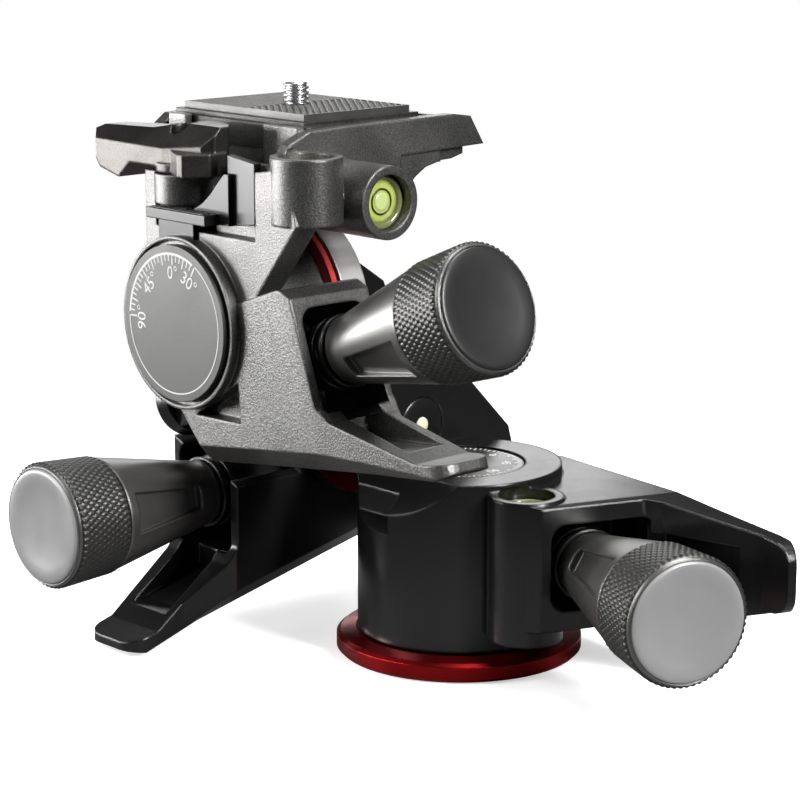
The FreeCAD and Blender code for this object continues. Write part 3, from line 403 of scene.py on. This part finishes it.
class Print:
    """Flat raised print on a face, gathered into one mesh; drawn with x to the right and y up."""

    def __init__(self, thick=0.06):
        self.points, self.faces, self.thick = [], [], thick

    def slab(self, outline):
        """A closed convex patch, as thick as the print."""
        base, count = len(self.points), len(outline)
        self.points += [(x, y, 0) for x, y in outline] + [(x, y, self.thick) for x, y in outline]
        self.faces.append([base + count + i for i in range(count)])
        self.faces.append([base + i for i in reversed(range(count))])
        for i in range(count):
            k = (i + 1) % count
            self.faces.append([base + i, base + k, base + count + k, base + count + i])

    def tick(self, angle, inner, outer, width):
        """A radial stroke; angles are in degrees from straight up, positive to the left."""
        a = math.radians(angle)
        out, side = Vector((-math.sin(a), math.cos(a))), Vector((math.cos(a), math.sin(a))) * width / 2
        self.slab([out * inner - side, out * inner + side, out * outer + side, out * outer - side])

    def ticks(self, angles, edge, short, long, width):
        """Ticks just inside a circle, the long ones at the angles that TICK_LONG divides."""
        for angle in angles:
            length = short if angle % TICK_LONG else long
            self.tick(angle, edge - length, edge - TICK_GAP, width)

    def arc(self, start, end, inner, outer):
        """A band between two radii, from one angle to another."""
        count = round(abs(end - start) / ARC_STEP)
        for i in range(count):
            a = math.radians(start + (end - start) * i / count)
            b = math.radians(start + (end - start) * (i + 1) / count)
            self.slab([(-r * math.sin(t), r * math.cos(t))
                       for r, t in ((inner, a), (inner, b), (outer, b), (outer, a))])

    def text(self, words, angle, radius, size):
        """Words standing upright at an angle round the centre, their middle at a radius."""
        curve = bpy.data.curves.new("words", "FONT")
        curve.body, curve.size = words, size
        curve.align_x, curve.align_y = "CENTER", "CENTER"
        curve.extrude = self.thick / 2
        curve.resolution_u = 4
        holder = bpy.data.objects.new("words", curve)
        mesh = bpy.data.meshes.new_from_object(holder)
        turn = Matrix.Rotation(math.radians(angle), 4, "Z")
        base = len(self.points)
        for vertex in mesh.vertices:
            spot = turn @ (vertex.co + Vector((0, radius, self.thick / 2)))
            self.points.append(tuple(spot))
        self.faces += [[base + i for i in polygon.vertices] for polygon in mesh.polygons]
        bpy.data.objects.remove(holder)
        bpy.data.curves.remove(curve)
        bpy.data.meshes.remove(mesh)


def put_print(name, scale, place, body):
    put_piece(name, scale.points, scale.faces, place, PRINT_WHITE, body, "dial_grey", smooth=False)


def build_dial_print():
    """Scale of the lateral dial: a thin ring, a broader band over the ticks, and four numbers."""
    scale = Print()
    scale.arc(-30, -270, DIAL_RING - DIAL_LINE, DIAL_RING)
    scale.arc(-27, 87, DIAL_RING - DIAL_BAND, DIAL_RING)
    scale.ticks(range(-30, 95, TICK_STEP), DIAL_RING, DIAL_TICK, DIAL_LONG_TICK, DIAL_TICK_WIDTH)
    for angle, words in ((-30, "30°"), (0, "0°"), (45, "45°"), (90, "90°")):
        scale.text(words, angle, DIAL_NUMBERS, DIAL_NUMBER_SIZE)
    low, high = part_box("lateral_dial")
    centre = ((low[0] + high[0]) / 2, low[1], (low[2] + high[2]) / 2)
    put_print("dial_print", scale, axes_matrix(centre, (1, 0, 0), (0, -1, 0)), "tilt_body")


def build_pan_print():
    """Pan scale: ticks all the way round, and a number every 45 degrees."""
    low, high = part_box("pan_scale")
    radius = (high[0] - low[0]) / 2 / MM
    scale = Print(PAN_THICK)
    scale.ticks(range(0, 360, TICK_STEP), radius, PAN_TICK, PAN_LONG_TICK, PAN_TICK_WIDTH)
    for angle in range(0, 360, 45):
        scale.text(str(min(angle, 360 - angle)), angle, radius - PAN_NUMBERS_INSET, PAN_NUMBER_SIZE)
    put_print("pan_scale_print", scale, axes_matrix((0, 0, high[2]), (1, 0, 0), (0, 0, 1)), "base")


# ---------------------------------------------------------------- bubble levels

LEVEL_RADIUS, VIAL_RADIUS = 6.55, 5.0
LEVEL_PROFILES = {
    "rim": [(VIAL_RADIUS, -4.9), (LEVEL_RADIUS, -4.9), (LEVEL_RADIUS, -0.5), (6.3, -0.15), (5.7, 0),
            (5.25, -0.25), (VIAL_RADIUS, -0.8), (VIAL_RADIUS, -4.9)],
    "liquid": [(0, -4.8), (VIAL_RADIUS - 0.02, -4.8), (VIAL_RADIUS - 0.02, -0.9), (4.0, -0.72),
               (2.4, -0.58), (0, -0.52)],
    "mark": [(2.75, -0.62), (2.75, -0.5), (3.2, -0.53), (3.2, -0.68), (2.75, -0.62)],
    "bubble": [(0, -0.56), (2.2, -0.6), (2.15, -0.46), (1.5, -0.4), (0, -0.37)],
}
LEVEL_FINISHES = {"rim": LEVEL_RIM, "liquid": FINISHES["level_green"], "mark": RING_BLACK, "bubble": BUBBLE}


def build_level(node, body, outward):
    """A round level: glossy rim, green liquid under a low dome, printed ring and bubble."""
    low, high = [Vector(corner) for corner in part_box(node)]
    out = Vector(outward)
    centre = (low + high) / 2 + out * abs((high - low).dot(out)) / 2
    place = axes_matrix(centre, (0, 0, 1) if abs(out.z) < 0.5 else (1, 0, 0), out)
    for part, profile in LEVEL_PROFILES.items():
        put_piece(node + "_" + part, *lathe(profile), place, LEVEL_FINISHES[part], body, "level_green",
                  [node] if part == "rim" else [])


# ---------------------------------------------------------------- plate and camera screw

PAD_STEP, PAD_MARGIN = 0.35, 0.5
RIB_PITCH, RIB_DEPTH, RIB_FLAT = 1.55, 0.42, 1.6
RIB_ACROSS, RIB_ALONG = 0.62, 0.785
SCREW_STEPS, THREAD_LEVELS = 48, 48
THREAD_OUTER, THREAD_ROOT, THREAD_PITCH = 3.175, 2.55, 1.27
FLANK_SLOPE, FLANK_START = 2.2, 0.55
HEAD_TALL, HEAD_BEVEL, SCREW_NECK = 2.5, 0.4, 2.7
SCREW_TIP, SCREW_TIP_LENGTH, SCREW_MIDDLE = 2.5, 0.45, 0.01


def pad_height(x, y, size):
    """Height of the pad's face at a place: slanting grooves with a plain margin round them."""
    lean = x * RIB_ACROSS + (y if x > size.x / 2 else -y) * RIB_ALONG
    wave = abs((lean / RIB_PITCH) % 1 * 2 - 1)
    inside = min(x, size.x - x, y, size.y - y)
    return -RIB_DEPTH * (1 - min(1, wave * RIB_FLAT)) if inside > PAD_MARGIN else 0


def build_pad():
    """Rubber pad with two fields of slanting ribs that meet on the middle line."""
    low, high = [Vector(corner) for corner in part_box("plate_pad")]
    size = (high - low) / MM
    columns, lines = round(size.x / PAD_STEP), round(size.y / PAD_STEP)
    points, faces = [], []
    for j in range(lines + 1):
        y = size.y * j / lines
        for i in range(columns + 1):
            x = size.x * i / columns
            points.append((x, y, pad_height(x, y, size)))
    width = columns + 1
    for j in range(lines):
        for i in range(columns):
            a = j * width + i
            faces.append([a, a + 1, a + width + 1, a + width])
    rim = ([(i, 0) for i in range(columns)] + [(columns, j) for j in range(lines)]
           + [(i, lines) for i in range(columns, 0, -1)] + [(0, j) for j in range(lines, 0, -1)])
    base = len(points)
    points += [(size.x * i / columns, size.y * j / lines, -size.z) for i, j in rim]
    count = len(rim)
    for k, (i, j) in enumerate(rim):
        n = (k + 1) % count
        faces.append([j * width + i, base + k, base + n, rim[n][1] * width + rim[n][0]])
    faces.append([base + k for k in reversed(range(count))])
    place = Matrix.Translation((low.x, low.y, high.z))
    put_piece("ribbed_pad", points, faces, place, FINISHES["plate_rubber"], "plate", "plate_rubber",
              ["plate_pad"], smooth=False)


def thread_row(height):
    """Ring of the threaded shank at a height, with the thread's turn in its radii."""
    row = []
    for i in range(SCREW_STEPS):
        phase = (height / THREAD_PITCH - i / SCREW_STEPS) % 1
        flank = min(1, max(0, FLANK_SLOPE * (1 - abs(phase * 2 - 1)) - FLANK_START))
        radius = THREAD_ROOT + (THREAD_OUTER - THREAD_ROOT) * flank
        angle = math.tau * i / SCREW_STEPS
        row.append((radius * math.cos(angle), radius * math.sin(angle), height))
    return row


def build_screw():
    """Camera screw with its thread cut above the pad and a broad head below the slab."""
    low, high = [Vector(corner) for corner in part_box("camera_screw")]
    total = (high.z - low.z) / MM
    seat = (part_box("plate_pad")[1][2] - low.z) / MM
    head = (high.x - low.x) / 2 / MM
    shank = [(SCREW_MIDDLE, 0), (head, 0), (head, HEAD_TALL - HEAD_BEVEL), (head - HEAD_BEVEL, HEAD_TALL),
             (SCREW_NECK, HEAD_TALL), (SCREW_NECK, seat)]
    length = total - SCREW_TIP_LENGTH - seat
    rows = [circle(*place, SCREW_STEPS) for place in shank]
    rows += [thread_row(seat + length * k / THREAD_LEVELS) for k in range(THREAD_LEVELS + 1)]
    rows += [circle(radius, total, SCREW_STEPS) for radius in (SCREW_TIP, SCREW_MIDDLE)]
    place = Matrix.Translation(((low.x + high.x) / 2, (low.y + high.y) / 2, low.z))
    put_piece("threaded_screw", *stack(rows), place, FINISHES["screw_chrome"], "screw", "screw_chrome",
              ["camera_screw"])


# ---------------------------------------------------------------- ribs of the latch

# Places (x, z) of the ribs on the latch and the y of their lanes, in millimetres of the object's frame.
LATCH_TOP = 107.5
RIB_FLAT_RUN, RIB_LONG_END = [(-55.8, LATCH_TOP), (-46, LATCH_TOP)], (-36, LATCH_TOP)
RIB_RAMP = [(-44.4, LATCH_TOP), (-41, 109.3), (-37.6, 112), (-34.8, 115), (-33.4, 116.4)]
LANE_START, LANE_STEP, LANES, LONG_LANES = -48.9, 1.45, 6, 2
RAMP_LANES = (-45.0, -43.9)
RIB_SECTION, RIB_SINK = ((-0.35, 0), (-0.2, 0.4), (0.2, 0.4), (0.35, 0)), 0.1


def rib_corners(y, start, end):
    """The eight corners of a straight stretch of rib between two places (x, z)."""
    along = Vector((end[0] - start[0], 0, end[1] - start[1])).normalized()
    up = Vector((-along.z, 0, along.x))
    corners = []
    for x, z in (start, end):
        foot = Vector((x, y, z)) - up * RIB_SINK
        corners += [tuple(foot + Vector((0, side, 0)) + up * rise) for side, rise in RIB_SECTION]
    return corners


def build_latch_ribs():
    """Low ribs along the thumb pad, the rear ones running up its ramp."""
    lanes = [(LANE_START + LANE_STEP * k, RIB_FLAT_RUN + ([RIB_LONG_END] if k < LONG_LANES else []))
             for k in range(LANES)]
    lanes += [(y, RIB_RAMP) for y in RAMP_LANES]
    points, faces = [], []
    for y, line in lanes:
        for start, end in zip(line, line[1:]):
            base = len(points)
            points += rib_corners(y, start, end)
            for k in range(4):
                n = (k + 1) % 4
                faces.append([base + k, base + n, base + 4 + n, base + 4 + k])
            faces.append([base + 3, base + 2, base + 1, base])
            faces.append([base + 4, base + 5, base + 6, base + 7])
    put_piece("latch_ribs", points, faces, Matrix.Identity(4), FINISHES["latch_black"], "latch",
              "latch_black", smooth=False)


# ---------------------------------------------------------------- stage, light and camera

FLOOR_HALF, FLOOR_DROP, FLOOR_GLOW = 3.0, 0.0003, 0.55
SKY_STRENGTH = 0.08


def build_stage():
    """White floor: the camera sees it lit and fading to plain white, the object sees a dim card."""
    mesh = bpy.data.meshes.new("floor")
    half = FLOOR_HALF
    corners = [(-half, -half), (half, -half), (half, half), (-half, half)]
    mesh.from_pydata([(x, y, -FLOOR_DROP) for x, y in corners], [], [(0, 1, 2, 3)])
    floor = bpy.data.objects.new("floor", mesh)
    bpy.context.scene.collection.objects.link(floor)
    shader = Shader("floor_white")
    shader.set(Base_Color=shader.ramp(shader.noise(3.0), 0.90, 0.93), Roughness=0.75)
    glow = shader.add("ShaderNodeEmission")
    glow.inputs["Strength"].default_value = FLOOR_GLOW
    lit = shader.add("ShaderNodeAddShader")
    shader.put(lit.inputs[0], shader.surface.outputs[0])
    shader.put(lit.inputs[1], glow.outputs[0])
    far = shader.add("ShaderNodeEmission")
    reach = shader.add("ShaderNodeVectorMath", operation="LENGTH")
    shader.put(reach.inputs[0], shader.coords())
    away = shader.ramp(reach.outputs["Value"], 0.0, 1.0, start=0.16, end=0.32)
    seen = shader.mixed(away, lit.outputs[0], far.outputs[0])
    card = shader.add("ShaderNodeBsdfDiffuse")
    shader.put(card.inputs["Color"], shader.ramp(reach.outputs["Value"], 0.25, 0.02, start=0.06, end=0.2))
    path = shader.add("ShaderNodeLightPath")
    shader.put(shader.nodes["Material Output"].inputs["Surface"],
               shader.mixed(path.outputs["Is Camera Ray"], card.outputs[0], seen))
    mesh.materials.append(shader.material)


def build_world():
    """Plain white behind the object for the camera, and a dim sky for everything else."""
    world = bpy.data.worlds.new("studio")
    bpy.context.scene.world = world
    world.use_nodes = True
    nodes, links = world.node_tree.nodes, world.node_tree.links
    background = nodes["Background"]
    seen = nodes.new("ShaderNodeBackground")
    seen.inputs["Color"].default_value = (1, 1, 1, 1)
    seen.inputs["Strength"].default_value = 1.0
    background.inputs["Color"].default_value = (0.97, 0.98, 1, 1)
    background.inputs["Strength"].default_value = SKY_STRENGTH
    path = nodes.new("ShaderNodeLightPath")
    mix = nodes.new("ShaderNodeMixShader")
    links.new(path.outputs["Is Camera Ray"], mix.inputs[0])
    links.new(background.outputs[0], mix.inputs[1])
    links.new(seen.outputs[0], mix.inputs[2])
    links.new(mix.outputs[0], nodes["World Output"].inputs["Surface"])


# Each light's place and size in metres, and its power in watts.
LIGHTS = {
    "key": ((-0.35, -0.75, 0.55), (0.45, 0.45), 6.5),
    "top": ((0.0, 0.2, 0.85), (0.6, 0.4), 7),
    "back_left": ((-0.70, 0.56, 0.34), (0.4, 0.3), 1.0),
    "left": ((-0.65, -0.62, 0.06), (0.3, 0.35), 8.5),
    "left_low": ((-0.85, -0.30, 0.02), (0.35, 0.3), 6.5),
    "right": ((0.70, 0.05, 0.50), (0.14, 0.4), 12),
}
LIGHT_TARGET = (-0.02, 0, 0.07)


def area_light(name, place, size, power):
    """A rectangular light that faces the middle of the object."""
    data = bpy.data.lights.new(name, "AREA")
    data.shape = "RECTANGLE"
    data.size, data.size_y = size
    data.energy = power
    lamp = bpy.data.objects.new(name, data)
    bpy.context.scene.collection.objects.link(lamp)
    lamp.location = place
    aim = Vector(LIGHT_TARGET) - Vector(place)
    lamp.rotation_euler = aim.to_track_quat("-Z", "Y").to_euler()


CAMERA_POSITION = 0.7965    # angle round the pan axis, in radians from -Y towards +X
CAMERA_HEADING = 0.8203     # radians from +Y towards -X
CAMERA_PITCH = 0.2177       # radians below the horizon
CAMERA_REACH = 606.65 * MM
CAMERA_HEIGHT = 195.75 * MM
FOCAL_PER_WIDTH = 2578.95 / 800


def build_camera():
    data = bpy.data.cameras.new("camera")
    data.sensor_width = 36
    data.sensor_fit = "HORIZONTAL"
    data.lens = FOCAL_PER_WIDTH * data.sensor_width
    camera = bpy.data.objects.new("camera", data)
    bpy.context.scene.collection.objects.link(camera)
    camera.location = (CAMERA_REACH * math.sin(CAMERA_POSITION), -CAMERA_REACH * math.cos(CAMERA_POSITION),
                       CAMERA_HEIGHT)
    level = math.cos(CAMERA_PITCH)
    forward = Vector((-math.sin(CAMERA_HEADING) * level, math.cos(CAMERA_HEADING) * level,
                      -math.sin(CAMERA_PITCH)))
    camera.rotation_euler = forward.to_track_quat("-Z", "Y").to_euler()
    bpy.context.scene.camera = camera


def build_lights():
    for name, (place, size, power) in LIGHTS.items():
        area_light(name, place, size, power)


dress_nodes()
build_grips()
build_caps()
build_axle_end()
build_dial_print()
build_pan_print()
build_level("pan_level", "pan_body", (0, 0, 1))
build_level("top_level", "lateral_body", (0, 0, 1))
build_level("side_level", "lateral_body", (1, 0, 0))
build_pad()
build_screw()
build_latch_ribs()
build_stage()
build_world()
build_lights()
build_camera()
bpy.context.scene.view_settings.view_transform = "Standard"
